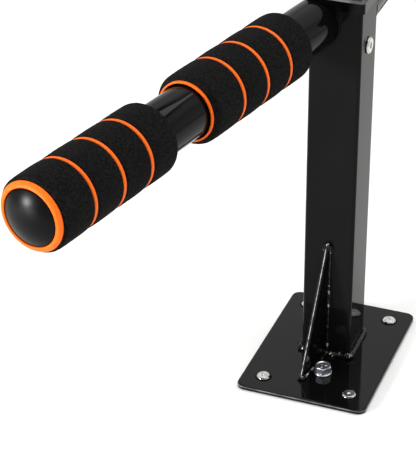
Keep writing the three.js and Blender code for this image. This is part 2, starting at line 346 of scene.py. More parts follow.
PLATE_PAINT = gloss_paint("stoved_black_gloss_on_plate", 1.27, rim=(0.0025, 0.0031))
POST_PAINT = gloss_paint("stoved_black_gloss_on_post", 1.14, pigment=0.0048)
TUBE_PAINT = gloss_paint("stoved_black_gloss_on_round_tube", 1.21)
RIB_PAINT = gloss_paint("stoved_black_gloss_on_rib", 1.27, 0.05, bright=painted_highlight_edge)
WELD_PAINT = gloss_paint("stoved_black_gloss_over_weld", 1.42, 0.8, bright=painted_glints)
CAP_PLASTIC = satin_plastic("cap_plastic", 0.0012, 0.12, 1.20, (0.3108, 0.3114))
DOME_PLASTIC = satin_plastic("dome_plastic", 0.0012, 0.27, 1.20)
SLEEVE_FOAM = black_foam("sleeve_foam")
BAND_FOAM = orange_foam("orange_band_foam")
BLUE_ZINC = zinc_plating("blue_zinc", (0.86, 0.89, 0.93, 1.0), (0.60, 0.65, 0.72, 1.0), 0.24)
SCREW_ZINC = zinc_plating("screw_zinc", (0.80, 0.79, 0.76, 1.0), (0.48, 0.47, 0.45, 1.0), 0.10, 0.12)
# A near-black ring as painted shade for the dark gap round each plate screw.
SEAT_SHADE = satin_plastic("painted_shadow_ring", 0.0006, 0.6, 1.08)

# ------------------------------------------------------------------ mesh helpers


def circle(radius, sides, z=0.0, x=0.0, y=0.0):
    angles = (2 * math.pi * i / sides for i in range(sides))
    return [Vector((x + radius * math.cos(a), y + radius * math.sin(a), z)) for a in angles]


def rounded_square(half_x, half_y, corner, z=0.0, y=0.0, steps=7):
    """A rectangle's loop with round corners, counter-clockwise from the +X side."""
    loop = []
    for sx, sy, start in ((1, 1, 0), (-1, 1, 90), (-1, -1, 180), (1, -1, 270)):
        for i in range(steps + 1):
            a = math.radians(start + 90 * i / steps)
            px = sx * (half_x - corner) + corner * math.cos(a)
            py = sy * (half_y - corner) + corner * math.sin(a)
            loop.append(Vector((px, y + py, z)))
    return loop


def rounded_profile(points, steps=5):
    """Points are (across, along, fillet); each fillet becomes a short arc."""
    done = []
    last = len(points) - 1
    for i, (a, b, fillet) in enumerate(points):
        if fillet == 0 or i in (0, last):
            done.append((a, b))
            continue
        here = Vector((a, b))
        before = (Vector(points[i - 1][:2]) - here)
        after = (Vector(points[i + 1][:2]) - here)
        turn = before.angle(after)
        back = min(fillet / math.tan(turn / 2), 0.49 * before.length, 0.49 * after.length)
        start = here + before.normalized() * back
        end = here + after.normalized() * back
        for k in range(steps + 1):
            t = k / steps
            point = start * (1 - t) ** 2 + here * 2 * t * (1 - t) + end * t ** 2
            done.append((point.x, point.y))
    return done


def add_ring(bm, loop):
    return [bm.verts.new(p) for p in loop]


def bridge(bm, low, high):
    n = len(low)
    for i in range(n):
        bm.faces.new((low[i], low[(i + 1) % n], high[(i + 1) % n], high[i]))


def fan(bm, ring, tip):
    centre = bm.verts.new(tip)
    n = len(ring)
    for i in range(n):
        bm.faces.new((ring[i], ring[(i + 1) % n], centre))


def loft(bm, loops, tips=(None, None), closed=False):
    """Skins a list of loops; a tip closes that end with a fan."""
    rings = [add_ring(bm, loop) for loop in loops]
    for low, high in zip(rings, rings[1:]):
        bridge(bm, low, high)
    if closed:
        bridge(bm, rings[-1], rings[0])
    for ring, tip in ((rings[0], tips[0]), (rings[-1], tips[1])):
        if tip is not None:
            fan(bm, ring, tip)
    return rings


def lathe(bm, profile, sides, closed=False):
    """Turns (radius, height) points about Z. A profile that starts and ends on the axis is solid."""
    inner = [p for p in profile if p[0] > 1e-6]
    tips = tuple(
        Vector((0, 0, end[1])) if end[0] <= 1e-6 else None for end in (profile[0], profile[-1])
    )
    return loft(bm, [circle(r, sides, z) for r, z in inner], tips, closed)


def fill_between(bm, loops):
    """Fills the flat region between an outer loop and its holes."""
    edges = []
    for loop in loops:
        n = len(loop)
        edges += [bm.edges.get((loop[i], loop[(i + 1) % n])) for i in range(n)]
    bmesh.ops.triangle_fill(bm, use_beauty=True, use_dissolve=False, edges=edges)


def slab(bm, outline, holes, bottom, top, edge, steps=4):
    """A plate with rounded rims. outline(inset, z) is its loop; a hole is a list of loops."""
    low, high = [], []
    for i in range(steps + 1):
        a = math.pi / 2 * i / steps
        low.append(outline(edge * (1 - math.sin(a)), bottom + edge * (1 - math.cos(a))))
        high.append(outline(edge * (1 - math.cos(a)), top - edge * (1 - math.sin(a))))
    rings = loft(bm, low + high)
    bored = [loft(bm, loops) for loops in holes]
    fill_between(bm, [rings[0]] + [b[0] for b in bored])
    fill_between(bm, [rings[-1]] + [b[-1] for b in bored])


def to_mesh(bm, name, smooth_angle=38):
    bmesh.ops.remove_doubles(bm, verts=bm.verts, dist=1e-4)
    bmesh.ops.recalc_face_normals(bm, faces=bm.faces)
    mesh = bpy.data.meshes.new(name)
    bm.to_mesh(mesh)
    bm.free()
    mesh.shade_smooth()
    mesh.set_sharp_from_angle(angle=math.radians(smooth_angle))
    return mesh


def placed(name, data):
    """A new object in the scene."""
    thing = bpy.data.objects.new(name, data)
    bpy.context.scene.collection.objects.link(thing)
    return thing


def move(bm, matrix, verts=None):
    bmesh.ops.transform(bm, matrix=matrix, verts=verts or bm.verts)


def lay_on_end(mesh, side):
    """Moves a mesh from the end's own frame, in mm, to its place on the object, in metres."""
    sign = -ENDS[side]
    matrix = Matrix.Translation((POST_X, -sign * abs(POST_Y), 0)) @ Matrix.Diagonal(
        (MM, sign * MM, MM, 1))
    mesh.transform(matrix)
    if sign < 0:
        mesh.flip_normals()


def shown(name, mesh, material, nodes=(), flat_faces=True):
    """Makes a mesh a piece of the object: rides and the nodes that it stands for."""
    mesh.name = name
    mesh.materials.clear()
    mesh.materials.append(material)
    piece = placed(name, mesh)
    if flat_faces:
        weighted = piece.modifiers.new("even_faces", "WEIGHTED_NORMAL")
        weighted.keep_sharp = True
        weighted.weight = 50
    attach(piece, BODY)
    if nodes:
        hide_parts(*nodes)
    return piece


def on_both_ends(name, make, material, nodes=(), flat_faces=True, angle=38):
    """Builds a piece once for each end."""
    made = []
    for side in ENDS:
        bm = bmesh.new()
        make(bm)
        mesh = to_mesh(bm, name, angle)
        lay_on_end(mesh, side)
        own = [f"{side}_{node}" for node in nodes]
        made.append(shown(f"{side}_{name}", mesh, material, own, flat_faces))
    return made


# ------------------------------------------------------------------ geometry trees


def geometry_graph(name, sizes):
    """A new tree with a geometry input, one named input for each size, and a geometry output."""
    tree = bpy.data.node_groups.new(name, "GeometryNodeTree")
    face = tree.interface
    face.new_socket("Geometry", in_out="INPUT", socket_type="NodeSocketGeometry")
    for label, kind in sizes.items():
        face.new_socket(label, in_out="INPUT", socket_type=kind)
    face.new_socket("Geometry", in_out="OUTPUT", socket_type="NodeSocketGeometry")
    graph = Graph(tree)
    entry = tree.nodes.new("NodeGroupInput")
    inputs = {label: Wire(graph, entry.outputs[label]) for label in ["Geometry", *sizes]}
    return graph, inputs


def close_graph(graph, geometry, material):
    """Realizes, shades and paints the result, and sends it out."""
    solid = graph.node("GeometryNodeRealizeInstances", None, {"Geometry": geometry})
    smooth = graph.node("GeometryNodeSetShadeSmooth", None, {"Geometry": solid})
    painted = graph.node("GeometryNodeSetMaterial", None, {"Geometry": smooth, "Material": material})
    graph.node("NodeGroupOutput", None, {"Geometry": painted})
    return graph.tree


def grown(name, seed_mesh, tree, values):
    """The plain mesh that a geometry tree makes from a seed mesh."""
    seed = placed(name + "_seed", seed_mesh)
    modifier = seed.modifiers.new(name, "NODES")
    modifier.node_group = tree
    for item in tree.interface.items_tree:
        if item.item_type == "SOCKET" and item.in_out == "INPUT" and item.name in values:
            modifier[item.identifier] = values[item.name]
    graph = bpy.context.evaluated_depsgraph_get()
    mesh = bpy.data.meshes.new_from_object(seed.evaluated_get(graph))
    seed.modifiers.remove(modifier)
    bpy.data.objects.remove(seed)
    return mesh


FLOAT = "NodeSocketFloat"
COUNT = "NodeSocketInt"
MATERIAL = "NodeSocketMaterial"


def weld_tree():
    """A bead laid along a path: overlapping ripples, uneven in width."""
    graph, size = geometry_graph("weld_bead", {
        "Bead Radius": FLOAT, "Ripple Pitch": FLOAT, "Ripple Depth": FLOAT,
        "Unevenness": FLOAT, "Seed": FLOAT, "Material": MATERIAL,
    })
    path = graph.node("GeometryNodeMeshToCurve", None, {"Mesh": size["Geometry"]})
    fine = graph.node(
        "GeometryNodeResampleCurve", {"mode": "LENGTH"},
        {"Curve": path, "Length": size["Ripple Pitch"] / 6})
    along = graph.node("GeometryNodeSplineParameter", None, None, "Length")
    arch = (along * math.pi / size["Ripple Pitch"]).sine().size()
    here = graph.node("GeometryNodeInputPosition")
    uneven = graph.node(
        "ShaderNodeTexNoise", {"noise_dimensions": "4D"},
        {"Vector": here, "W": size["Seed"], "Scale": 0.35, "Detail": 2.0}, "Fac")
    radius = size["Bead Radius"] * (1 + size["Ripple Depth"] * (arch - 0.6)
                                    + size["Unevenness"] * (uneven - 0.5))
    ring = graph.node(
        "GeometryNodeCurvePrimitiveCircle", None, {"Resolution": 14, "Radius": 1.0})
    bead = graph.node("GeometryNodeCurveToMesh", None, {
        "Curve": fine, "Profile Curve": ring, "Scale": radius, "Fill Caps": True})
    return close_graph(graph, bead, size["Material"])


def screw_tree():
    """One screw repeated on every vertex, each turned by its own angle."""
    graph, size = geometry_graph("screw_set", {
        "Screw": "NodeSocketObject", "Turn": FLOAT, "Seed": COUNT, "Material": MATERIAL,
    })
    screw = graph.node("GeometryNodeObjectInfo", None, {"Object": size["Screw"]}, "Geometry")
    limits = {2: 0.0, 3: size["Turn"], "Seed": size["Seed"]}
    spin = graph.node("FunctionNodeRandomValue", {"data_type": "FLOAT"}, limits, 1)
    turn = graph.node("ShaderNodeCombineXYZ", None, {"Z": spin})
    screws = graph.node(
        "GeometryNodeInstanceOnPoints", None,
        {"Points": size["Geometry"], "Instance": screw, "Rotation": turn})
    solid = graph.node("GeometryNodeRealizeInstances", None, {"Geometry": screws})
    painted = graph.node(
        "GeometryNodeSetMaterial", None, {"Geometry": solid, "Material": size["Material"]})
    graph.node("NodeGroupOutput", None, {"Geometry": painted})
    return graph.tree


def band_tree():
    """A row of equal round-edged bands along Z, a pitch apart."""
    graph, size = geometry_graph("orange_bands", {
        "Count": COUNT, "First": FLOAT, "Pitch": FLOAT, "Middle Radius": FLOAT,
        "Width": FLOAT, "Thickness": FLOAT, "Edge": FLOAT, "Material": MATERIAL,
    })
    start = graph.node("ShaderNodeCombineXYZ", None, {"Z": size["First"]})
    step = graph.node("ShaderNodeCombineXYZ", None, {"Z": size["Pitch"]})
    places = graph.node("GeometryNodeMeshLine", None, {
        "Count": size["Count"], "Start Location": start, "Offset": step})
    around = graph.node("GeometryNodeCurvePrimitiveCircle", None, {
        "Resolution": 112, "Radius": size["Middle Radius"]})
    section = graph.node("GeometryNodeCurvePrimitiveQuadrilateral", None, {
        "Width": size["Thickness"], "Height": size["Width"]})
    round_section = graph.node(
        "GeometryNodeFilletCurve", {"mode": "POLY"},
        {"Curve": section, "Radius": size["Edge"], "Count": 4, "Limit Radius": True})
    band = graph.node("GeometryNodeCurveToMesh", None, {
        "Curve": around, "Profile Curve": round_section})
    row = graph.node("GeometryNodeInstanceOnPoints", None, {"Points": places, "Instance": band})
    return close_graph(graph, row, size["Material"])


WELD_TREE = weld_tree()
SCREW_TREE = screw_tree()
BAND_TREE = band_tree()


def points_mesh(name, points, joined=False, closed=False):
    """A mesh of bare points, or of a path through them."""
    mesh = bpy.data.meshes.new(name)
    edges = [(i, i + 1) for i in range(len(points) - 1)] if joined else []
    if joined and closed:
        edges.append((len(points) - 1, 0))
    mesh.from_pydata([tuple(p) for p in points], edges, [])
    return mesh


# ------------------------------------------------------------------ base plate, post, cap


def counterbore(x, y):
    """A screw hole whose upper rim is opened into a shallow seat."""
    steps = ((3.3, 0.0), (3.3, 3.3), (5.6, 3.3), (6.0, 3.5), (6.4, 4.0))
    return [circle(r, 40, z, x, y) for r, z in steps]


SCREW_PLACES = [(sx * SCREW_X, PLATE["out"] + sy * SCREW_Y)
                for sx, sy in ((-1, -1), (1, -1), (1, 1), (-1, 1))]


def base_plate(bm):
    def outline(inset, z):
        return rounded_square(PLATE["width"] / 2 - inset, PLATE["length"] / 2 - inset,
                              PLATE["corner"] - inset, z, PLATE["out"])
    holes = [counterbore(x, y) for x, y in SCREW_PLACES]
    x, y = HEX_BOLT_AT
    holes.append([circle(HEX_HOLE_RADIUS, 32, z, x, y) for z in (0.0, PLATE["top"])])
    slab(bm, outline, holes, 0.0, PLATE["top"], PLATE["edge"])


def post_tube(bm):
    half, wall, corner = POST["side"] / 2, POST["wall"], POST["corner"]

    def outline(inset, z):
        return rounded_square(half - inset, half - inset, corner - inset, z)
    inside = [rounded_square(half - wall, half - wall, corner - wall / 2, z)
              for z in (POST["bottom"], POST["top"])]
    slab(bm, outline, [inside], POST["bottom"], POST["top"], 0.4, 2)


def post_cap(bm):
    """A plug inside the tube, a lip proud of it and a shallow dish in the top."""
    bottom, top, half = CAP["bottom"], CAP["top"], CAP["half"]
    plug_inside, plug_outside, plug_end = half - 6.3, half - 4.3, bottom - CAP["plug"]
    floor_at = top - CAP["dish"]
    points = [(plug_inside, bottom, 0), (plug_inside, plug_end, 0.4), (plug_outside, plug_end, 0.4),
              (plug_outside, bottom, 0), (half, bottom, 0.3), (half, top, 0.9),
              (half - 3.4, top, 0.5), (half - 3.8, floor_at, 0.5), (half - 9.0, floor_at, 0)]
    loops = [rounded_square(a, a, max(0.4, CAP["corner"] - (half - a)), z)
             for a, z in rounded_profile(points)]
    tips = (Vector((0, 0, bottom)), Vector((0, 0, top - 0.9)))
    loft(bm, loops, tips)


# ------------------------------------------------------------------ gusset

GUSSET = {"height": 100.0, "reach": 41.0, "thickness": 3.0, "nose": 3.0, "turn": math.radians(9)}


def gusset_frame():
    return Matrix.Translation((0, -POST["side"] / 2 - GAP, PLATE["top"] + GAP)) @ Matrix.Rotation(
        -GUSSET["turn"], 4, "Z")


def gusset(bm):
    """A three-sided rib with softened rims, standing outward from the post."""
    reach, height, nose = GUSSET["reach"], GUSSET["height"], GUSSET["nose"]
    outline = [(0.0, 0.0, 0), (reach, 0.0, 0.8), (reach, nose, 1.2), (nose, height, 1.2),
               (0.0, height, 0.3), (0.0, 0.0, 0)]
    loop = rounded_profile(outline, 4)[:-1]
    middle = Vector((reach * 0.3, height * 0.3))
    half = GUSSET["thickness"] / 2
    rim, steps = 1.35, 6
    arc = [(rim * (1 - math.sin(a)), half - rim + rim * math.cos(a))
           for a in (math.pi / 2 * i / steps for i in range(steps + 1))]
    loops = []
    for inset, side in [(a, -b) for a, b in arc] + arc[::-1]:
        ring = []
        for a, b in loop:
            toward = middle - Vector((a, b))
            step = toward.normalized() * inset * 1.2
            ring.append(Vector((side, -(a + step.x), b + step.y)))
        loops.append(ring)
    # The two middle loops round the rib's edge carry a painted highlight line.
    worn = bm.verts.layers.float.new("worn")
    rings = loft(bm, loops)
    for vert in rings[steps] + rings[steps + 1]:
        vert[worn] = 1.0
    bm.verts.ensure_lookup_table()
    n = len(loop)
    bm.faces.new([bm.verts[i] for i in range(n)])
    bm.faces.new([bm.verts[i] for i in range(len(bm.verts) - n, len(bm.verts))])
    move(bm, gusset_frame())


# ------------------------------------------------------------------ fasteners


def hexagon_radius(angle, apothem):
    turn = (angle + math.pi / 6) % (math.pi / 3) - math.pi / 6
    return apothem / math.cos(turn)


def hex_loop(apothem, z, limit=math.inf, soft=0.35):
    """A hexagon's loop with eased corners, cut back by a round limit."""
    loop = []
    for i in range(BOLT_SIDES):
        a = 2 * math.pi * i / BOLT_SIDES
        r = min(hexagon_radius(a, apothem), limit, apothem / math.cos(math.pi / 6) - soft)
        loop.append(Vector((r * math.cos(a), r * math.sin(a), z)))
    return loop


def recess(bm, mouth, apothem, top, depth):
    """A six-sided socket: its mouth, its wall and its drilled floor."""
    ease, soft = 0.25, 0.05
    loops = [mouth, hex_loop(apothem + ease, top, soft=soft), hex_loop(apothem, top - ease, soft=soft),
             hex_loop(apothem, top - depth, soft=soft)]
    loft(bm, loops, (None, Vector((0, 0, top - depth - 0.5))))


def socket_button(bm, size, shank_length, shank_radius):
    """A flat head with a bevelled rim, a socket and a plain shank, seated on z = 0."""
    radius, rise, apothem, depth = size["radius"], size["rise"], size["socket"], size["depth"]
    points = [(0, -shank_length, 0), (shank_radius, -shank_length, 0.4), (shank_radius, 0, 0.1),
              (radius, 0, 0.2), (radius, rise * 0.42, 0.35), (radius * 0.84, rise, 0.5),
              (radius * 0.66, rise - 0.04, 0.8), (apothem * 1.3, rise - 0.05, 0)]
    profile = rounded_profile(points)
    mouth_radius, mouth_z = profile[-1]
    lathe(bm, profile, BOLT_SIDES)
    recess(bm, circle(mouth_radius, BOLT_SIDES, mouth_z), apothem, mouth_z, depth)


MOUNT_SCREW = {"radius": 5.4, "rise": 1.55, "socket": 1.15, "depth": 0.5}
CROSS_BOLT = {"radius": 6.45, "rise": 2.15, "socket": 2.5, "depth": 1.4}
HEX_TURN = math.radians(22)
HEAD_RISE = 5.25
WASHER_TOP = 5.7


def raised_bar(bm, turn, middle, base, size):
    """A softened bar on the head's top, set along a radius."""
    length, width, height = size
    loops = []
    for inset, z in ((0.0, 0.0), (0.0, height * 0.6), (0.18, height)):
        loops.append(rounded_square(length / 2 - inset, width / 2 - inset, 0.2, z, steps=3))
    added = loft(bm, loops, (Vector((0, 0, 0)), Vector((0, 0, height))))
    place = Matrix.Rotation(turn, 4, "Z") @ Matrix.Translation((middle, 0, base))
    verts = {v for ring in added for v in ring} | {
        e.other_vert(ring[0]) for ring in (added[0], added[-1]) for e in ring[0].link_edges
        if e.other_vert(ring[0]) not in ring}
    move(bm, place, list(verts))


def hex_head(bm):
    """Forged hexagon head: chamfered crown, dished top and three raised bars."""
    apothem, rise, dish = 6.0, HEAD_RISE, 0.5
    shank = lathe(bm, [(0, -5.6), (3.6, -5.6), (4.0, -5.2), (4.0, 0.0)], BOLT_SIDES)
    rows = [(0.0, 6.3), (0.25, 6.6), (0.5, math.inf)]
    rows += [(rise - 0.8 + 0.19 * i, 6.8 - 0.22 * i) for i in range(5)]
    loops = [hex_loop(apothem, z, limit) for z, limit in rows]
    crown = ((5.4, 0.0), (4.9, 0.03), (4.5, dish * 0.75), (4.1, dish))
    loops += [circle(radius, BOLT_SIDES, rise - fall) for radius, fall in crown]
    rings = loft(bm, loops, (None, Vector((0, 0, rise - dish))))
    bridge(bm, shank[-1], rings[0])
    for turn in (0, 120, 240):
        raised_bar(bm, math.radians(turn), 2.3, rise - dish - 0.05, (2.3, 0.9, 0.45))


def hex_bolt(bm):
    hex_head(bm)
    place = Matrix.Translation((*HEX_BOLT_AT, WASHER_TOP + GAP)) @ Matrix.Rotation(HEX_TURN, 4, "Z")
    move(bm, place)


def hex_washer(bm):
    bore, outer, bottom = 4.5, 7.2, PLATE["top"] + GAP
    points = [(bore, bottom, 0), (outer, bottom, 0.3), (outer, WASHER_TOP, 0.5),
              (bore + 0.1, WASHER_TOP, 0)]
    lathe(bm, rounded_profile(points) + [(bore, WASHER_TOP - 0.1)], BOLT_SIDES, closed=True)
    move(bm, Matrix.Translation((*HEX_BOLT_AT, 0)))


def cross_frame():
    """Z runs out of the post's +X side along the cross bolt."""
    y, z = CROSS_BOLT_AT
    return Matrix.Translation((0, y, z)) @ Matrix.Rotation(math.pi / 2, 4, "Y")


def threaded_tail(bm, radius, start, end, pitch=1.25, depth=0.6, sides=36):
    """The thread that shows past the nut, as one helical skin."""
    rows = max(2, int((end - start) / pitch * 8))
    loops = []
    for i in range(rows + 1):
        z = start + (end - start) * i / rows
        fade = min(1.0, (end - z) / 0.8)
        loop = []
        for k in range(sides):
            a = 2 * math.pi * k / sides
            wave = abs(((z / pitch - k / sides) % 1.0) * 2 - 1)
            r = radius - depth * (1 - wave) - (1 - fade) * 0.5
            loop.append(Vector((r * math.cos(a), r * math.sin(a), z)))
        loops.append(loop)
    loft(bm, loops, (Vector((0, 0, start)), Vector((0, 0, end))))


def cross_bolt(bm):
    """Its head sits on the +X face; the shank goes through and ends in a thread past the nut."""
    shank, seat = 4.0, POST["side"] / 2 + GAP
    socket_button(bm, CROSS_BOLT, 2 * seat + 4.0, shank)
    move(bm, Matrix.Translation((0, 0, seat)))
    before = set(bm.verts)
    threaded_tail(bm, shank, seat + 3.0, seat + 9.0)
    added = [v for v in bm.verts if v not in before]
    move(bm, Matrix.Rotation(math.pi, 4, "X"), added)
    move(bm, cross_frame())


def cross_nut(bm):
    apothem, height, bore = 6.5, 6.5, 4.5
    rows = [(0.0, 6.9), (0.4, 7.2), (0.8, math.inf), (5.7, math.inf), (6.1, 7.2), (height, 6.9)]
    loops = [hex_loop(apothem, z, limit) for z, limit in rows]
    inside = ((5.1, height), (bore, height - 0.6), (bore, 0.6), (5.1, 0.0))
    loops += [circle(radius, BOLT_SIDES, z) for radius, z in inside]
    loft(bm, loops, closed=True)
    place = cross_frame() @ Matrix.Rotation(math.pi, 4, "X") @ Matrix.Translation(
        (0, 0, POST["side"] / 2 + GAP))
    move(bm, place)


# ------------------------------------------------------------------ handle and crossbar


def handle_frame():
    """Z runs outward along the handle's axis, from the post's outer face."""
    out = Vector((-math.sin(HANDLE_ANGLE), -math.cos(HANDLE_ANGLE), 0))
    side = Vector((math.cos(HANDLE_ANGLE), -math.sin(HANDLE_ANGLE), 0))
    up = Vector((0, 0, 1))
    turn = Matrix((side, up, out)).transposed().to_4x4()
    return Matrix.Translation((-HANDLE_ASIDE, -POST["side"] / 2, BAR_Z)) @ turn


def coped_start(point, out):
    """How far along the axis a line of the tube begins, so that it ends on the post's faces."""
    lip = CAP["half"] if point.z > POST["top"] - GAP else POST["side"] / 2
    face = -lip - GAP
    wrap = -POST["side"] / 2 + 8.0
    at_wrap = (wrap - point.y) / out.y
    if (point + out * at_wrap).x <= face:
        return at_wrap
    at_side = (face - point.x) / out.x
    at_front = (face - point.y) / out.y
    return at_front if (point + out * at_front).x > face else at_side


def handle_tube(bm):
    """The tube, cut to fit round the post, with a bored outer end for the dome's plug."""
    place = handle_frame()
    out = (place.to_3x3() @ Vector((0, 0, 1))).normalized()
    lines = [place @ p for p in circle(BAR_RADIUS, TUBE_SIDES)]
    starts = [coped_start(p, out) for p in lines]
    loops = [[p + out * t for p, t in zip(lines, starts)]]
    for reach in (20.0, 60.0, 180.0, HANDLE_REACH - 0.6):
        loops.append([p + out * reach for p in lines])
    floor_at, bore = HANDLE_REACH - 30.0, 17.0
    for radius, along in ((BAR_RADIUS - 0.4, HANDLE_REACH), (bore + 0.2, HANDLE_REACH),
                          (bore, HANDLE_REACH - 0.3), (bore, floor_at)):
        loops.append([place @ p for p in circle(radius, TUBE_SIDES, along)])
    tips = (place @ Vector((0, 0, sum(starts) / len(starts))), place @ Vector((0, 0, floor_at)))
    loft(bm, loops, tips)


def foam_profile(shoulder, tail):
    """Half-section of one sleeve: rounded shoulders, four soft segments, three grooves."""
    pitch = GRIP_LENGTH / SEGMENTS
    half = RING_WIDTH / 2 + 0.1
    crown, groove, near_ring, inward_shoulder = 0.22, 3.0, 1.7, 4.4
    outer = FOAM_RADIUS - 0.12
    rim = outer - crown
    steps, rows = 7, 22
    points = [(BORE_RADIUS, 0.0)]
    for i in range(SEGMENTS):
        start = i * pitch + (half if i else 0.0)
        end = (i + 1) * pitch + (-half if i < SEGMENTS - 1 else tail)
        first = inward_shoulder if i == 0 else near_ring
        last = shoulder if i == SEGMENTS - 1 else near_ring
        if i:
            points.append((outer - groove, start))
        for k in range(steps + 1):
            a = math.pi / 2 * k / steps
            points.append((rim - first * (1 - math.sin(a)), start + first * (1 - math.cos(a))))
        for k in range(1, rows):
            t = k / rows
            points.append((rim + crown * math.sin(math.pi * t) ** 0.6,
                           start + first + (end - last - start - first) * t))
        for k in range(steps + 1):
            a = math.pi / 2 * k / steps
            points.append((rim - last * (1 - math.cos(a)), end - last * (1 - math.sin(a))))
        if i < SEGMENTS - 1:
            points.append((outer - groove, end))
    points.append((BORE_RADIUS, GRIP_LENGTH + tail))
    return points


def foam_sleeve(start, shoulder, tail):
    """One sleeve, with the slight lumps of moulded foam everywhere but in its bore."""
    def make(bm):
        rings = lathe(bm, foam_profile(shoulder, tail), 168, closed=True)
        for ring in rings:
            for vert in ring:
                flat = Vector((vert.co.x, vert.co.y, 0))
                if flat.length < BORE_RADIUS + 0.5:
                    continue
                seed = Vector((vert.co.x, vert.co.y, vert.co.z + start))
                lump = 0.10 * noise.noise(seed / 7.0) + 0.07 * noise.noise(seed / 2.2)
                vert.co += flat.normalized() * lump
        place = handle_frame() @ Matrix.Translation((0, 0, start))
        move(bm, place)
    return make


def ring_on_handle(points, start, steps):
    """A closed ring round the handle, from its section."""
    def make(bm):
        place = handle_frame() @ Matrix.Translation((0, 0, start))
        lathe(bm, rounded_profile(points, steps), TUBE_SIDES, closed=True)
        move(bm, place)
    return make


def dome_band(start):
    """The wide orange band round the dome at the handle's end, crowned like a roll."""
    inner, outer = 19.75, 23.85
    points = [(inner, 0.0, 0), (outer - 0.5, 0.0, 0.3), (outer, 1.2, 1.4), (outer - 1.7, 3.2, 2.0),
              (inner + 0.8, 3.9, 1.0), (inner, 3.3, 0.4), (inner, 1.6, 0)]
    return ring_on_handle(points, start, 8)


def loose_collar(start):
    """The thin orange collar that stands out of the inner grip, loose round the tube."""
    inner, outer, width = 20.25, 21.65, 2.2
    points = [(inner, 0.0, 0), (outer, 0.0, 0.2), (outer, width, 0.65), (inner, width, 0.65),
              (inner, 1.0, 0)]
    return ring_on_handle(points, start, 6)


def dome_cap(bm):
    """A tube plug whose head is part of a ball, standing on a short collar."""
    seat = HANDLE_REACH + GAP
    radius, rise = 19.5, 6.0
    rim = seat + GRIP_TAILS["outer"] + 3.0
    ball = (radius ** 2 + rise ** 2) / (2 * rise)
    opening = math.asin(radius / ball)
    plug, plug_end = 16.6, seat - 24.0
    profile = [(0, plug_end), (plug - 0.6, plug_end), (plug, plug_end + 0.6), (plug, seat),
               (radius - 0.2, seat), (radius, seat + 0.2), (radius, rim - 0.5)]
    steps = 24
    for i in range(steps):
        a = 0.985 * opening * (1 - i / steps)
        profile.append((ball * math.sin(a), rim + rise - ball * (1 - math.cos(a))))
    profile.append((0.0, rim + rise))
    lathe(bm, profile, TUBE_SIDES)
    move(bm, handle_frame())


# ------------------------------------------------------------------ assembly

on_both_ends("plate", base_plate, PLATE_PAINT, ["base_plate"])
on_both_ends("post_tube", post_tube, POST_PAINT, ["post"])
on_both_ends("cap", post_cap, CAP_PLASTIC, ["post_cap"])
on_both_ends("rib", gusset, RIB_PAINT, ["gusset"])
on_both_ends("bolt", hex_bolt, BLUE_ZINC, ["hex_bolt"], angle=28)
on_both_ends("washer", hex_washer, BLUE_ZINC, ["hex_washer"])
on_both_ends("through_bolt", cross_bolt, SCREW_ZINC, ["cross_bolt"], angle=45)
on_both_ends("through_nut", cross_nut, SCREW_ZINC, ["cross_nut"], angle=28)
on_both_ends("handle", handle_tube, TUBE_PAINT, ["handle_tube"], False)
on_both_ends("dome", dome_cap, DOME_PLASTIC, ["dome_cap"], False)
for grip, shoulder, band in (("outer", 2.2, dome_band), ("inner", 4.2, loose_collar)):
    along, tail = GRIP_STARTS[grip], GRIP_TAILS[grip]
    sleeves = on_both_ends(f"{grip}_sleeve", foam_sleeve(along, shoulder, tail), SLEEVE_FOAM,
                           [f"{grip}_grip_foam"], False, 60)
    on_both_ends(f"{grip}_end_band", band(along + GRIP_LENGTH + tail + GAP), BAND_FOAM,
                 [f"{grip}_grip_end_ring"], False)


def set_in_plate(name, bm, height, turn, material, nodes=(), flat_faces=True):
    """Repeats one mesh at the four screw places of each end, by the screw tree."""
    template = placed(f"{name}_template", to_mesh(bm, f"{name}_template", 30))
    for side in ENDS:
        spots = points_mesh(f"{name}_spots", [(x, y, height) for x, y in SCREW_PLACES])
        values = {"Screw": template, "Turn": turn, "Seed": 5 + ENDS[side], "Material": material}
        mesh = grown(name, spots, SCREW_TREE, values)
        lay_on_end(mesh, side)
        own = [f"{side}_{node}" for node in nodes]
        shown(f"{side}_{name}", mesh, material, own, flat_faces)
    bpy.data.objects.remove(template)


def mount_screws():
    """The four plate screws of each end, each turned its own way."""
    bm = bmesh.new()
    socket_button(bm, MOUNT_SCREW, 4.0, 3.0)
    nodes = [f"mount_screw_{i}" for i in (1, 2, 3, 4)]
    set_in_plate("screws", bm, PLATE["top"] + GAP, 1.0, SCREW_ZINC, nodes)


def screw_shadow_rings():
    """A thin near-black ring round every plate screw, sunk in its counterbore: painted shade for the
    dark gap round each head.
    """
    bm = bmesh.new()
    inner, outer, thickness, sunk = 5.55, 6.5, 0.75, 0.65
    section = [(inner, 0.0, 0), (outer, 0.0, 0.1), (outer, thickness, 0.3), (inner, thickness, 0.3),
               (inner, 0.1, 0)]
    lathe(bm, rounded_profile(section), 64, closed=True)
    set_in_plate("seals", bm, PLATE["top"] - sunk, 0.0, SEAT_SHADE, flat_faces=False)


def groove_bands():
    """The three thin orange bands in each sleeve's grooves."""
    pitch = GRIP_LENGTH / SEGMENTS
    inner, outer = 23.35, 25.25
    for grip, along in GRIP_STARTS.items():
        for side in ENDS:
            values = {"Count": SEGMENTS - 1, "First": along + pitch, "Pitch": pitch,
                      "Middle Radius": (inner + outer) / 2, "Thickness": outer - inner,
                      "Width": RING_WIDTH, "Edge": 0.8, "Material": BAND_FOAM}
            mesh = grown("bands", points_mesh("bands", []), BAND_TREE, values)
            mesh.transform(handle_frame())
            lay_on_end(mesh, side)
            nodes = [f"{side}_{grip}_grip_ring_{i}" for i in (1, 2, 3)]
            shown(f"{side}_{grip}_bands", mesh, BAND_FOAM, nodes, False)


# the stretch of the foot's loop down the post's -X face, round the corner and along its outer face
FRONT_OF_POST = slice(14, 26)


